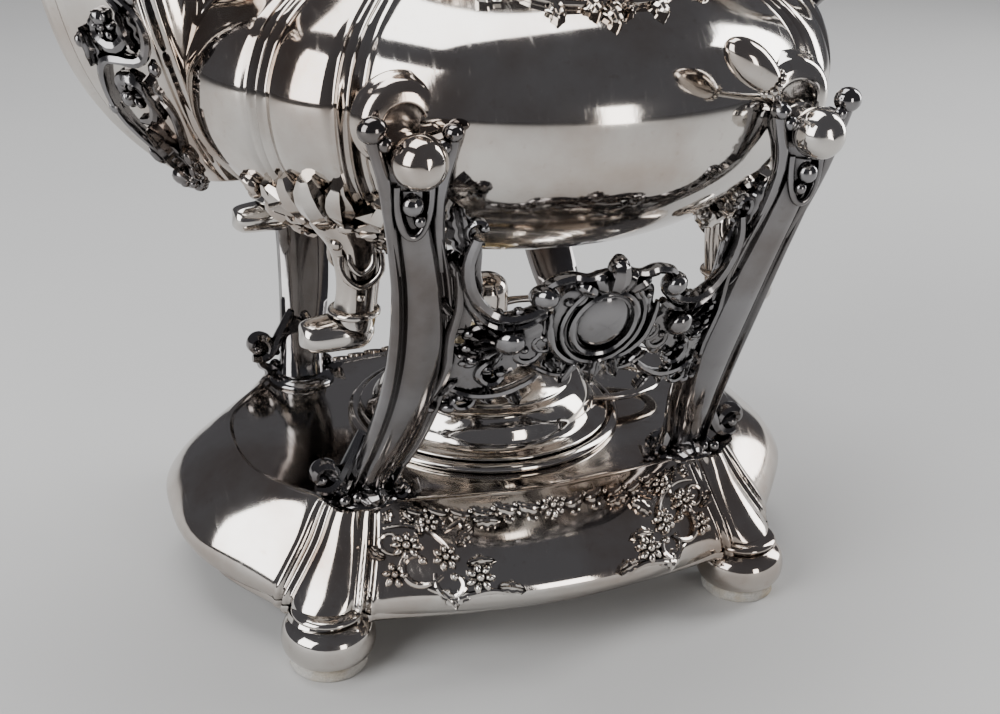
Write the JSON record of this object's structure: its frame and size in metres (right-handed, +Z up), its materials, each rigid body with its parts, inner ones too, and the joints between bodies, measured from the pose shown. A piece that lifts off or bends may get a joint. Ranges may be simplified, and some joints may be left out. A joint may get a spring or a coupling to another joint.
{
  "type": "tilting coffee pot on a burner stand",
  "caption": "Silver-plated coffee pot with lobed body, hung by studs in a four-legged pierced stand so that it tips to pour, over a spirit lamp with a hinged snuffer.",
  "frame": {"origin": "on the table, midway between the four feet", "axes": "+Z up, spout along -X, handle along +X, Y across the pot"},
  "size_m": [0.296, 0.1802, 0.303],
  "materials": {
    "silver": "polished silver plate with light warm tarnish",
    "dark_silver": "polished silver plate with dark tarnish in the relief",
    "lamp_brass": "worn plated brass",
    "fixings": "dull turned brass",
    "insulator": "smooth ivory-coloured resin",
    "cotton": "braided cotton",
    "felt": "pressed wool felt, stained by glue"
  },
  "bodies": {
    "stand": {"apron_back": "dark_silver", "apron_front": "dark_silver", "bun_foot_back_handle": "silver", "bun_foot_back_spout": "silver", "bun_foot_front_handle": "silver", "bun_foot_front_spout": "silver", "burner_seat": "silver", "felt_pad_back_handle": "felt", "felt_pad_back_spout": "felt", "felt_pad_front_handle": "felt", "felt_pad_front_spout": "felt", "foot_screws": "fixings", "leg_back_handle": "dark_silver", "leg_back_spout": "dark_silver", "leg_front_handle": "dark_silver", "leg_front_spout": "dark_silver", "leg_nuts": "fixings", "stand_base": "silver"},
    "lamp": {"lamp_font": "silver", "cotton_packing": "cotton", "lamp_collar": "lamp_brass", "wick_tube": "lamp_brass", "wick": "cotton", "lamp_handle": "silver", "snuffer_post": "silver", "snuffer_pin": "silver"},
    "snuffer": {"snuffer_cap": "silver", "snuffer_arm": "silver"},
    "pot": {"pot_body": "silver", "pot_bottom": "silver", "neck": "silver", "spout": "silver", "handle_grip": "silver", "insulator_lower": "insulator", "insulator_upper": "insulator", "handle_socket_lower": "silver", "handle_socket_upper": "silver", "handle_pins": "silver", "neck_leaf": "silver", "hinge_pin": "silver", "pot_foot_front_spout": "silver", "pot_foot_front_handle": "silver", "pot_foot_back_spout": "silver", "pot_foot_back_handle": "silver", "boss_front_spout": "silver", "boss_front_handle": "silver", "boss_back_spout": "silver", "boss_back_handle": "silver", "stud_front_spout": "silver", "stud_front_handle": "silver", "stud_back_spout": "silver", "stud_back_handle": "silver"},
    "lid": {"lid": "silver", "lid_finial": "silver", "finial_nut": "fixings", "lid_leaf": "silver"},
    "catch_front": {"catch_lever_front": "silver", "catch_knob_front": "silver"},
    "catch_back": {"catch_lever_back": "silver", "catch_knob_back": "silver"}
  },
  "joints": [
    {"name": "lamp_lift", "type": "slide", "parent": "stand", "child": "lamp", "axis": [0, 0, 1], "range_m": [0, 0.018]},
    {"name": "snuffer_hinge", "type": "hinge", "parent": "lamp", "child": "snuffer", "pos_m": [0.017, 0, 0.0685], "axis": [0, 1, 0], "range_deg": [0, 110]},
    {"name": "pot_tilt", "type": "hinge", "parent": "stand", "child": "pot", "pos_m": [-0.0435, 0, 0.1338], "axis": [0, -1, 0], "range_deg": [0, 45]},
    {"name": "lid_hinge", "type": "hinge", "parent": "pot", "child": "lid", "pos_m": [0.0475, 0, 0.243], "axis": [0, 1, 0], "range_deg": [0, 100]},
    {"name": "catch_swing_front", "type": "hinge", "parent": "pot", "child": "catch_front", "pos_m": [0.0435, -0.072, 0.1338], "axis": [0, 1, 0], "range_deg": [0, 92]},
    {"name": "catch_swing_back", "type": "hinge", "parent": "pot", "child": "catch_back", "pos_m": [0.0435, 0.072, 0.1338], "axis": [0, 1, 0], "range_deg": [0, 92]}
  ]
}
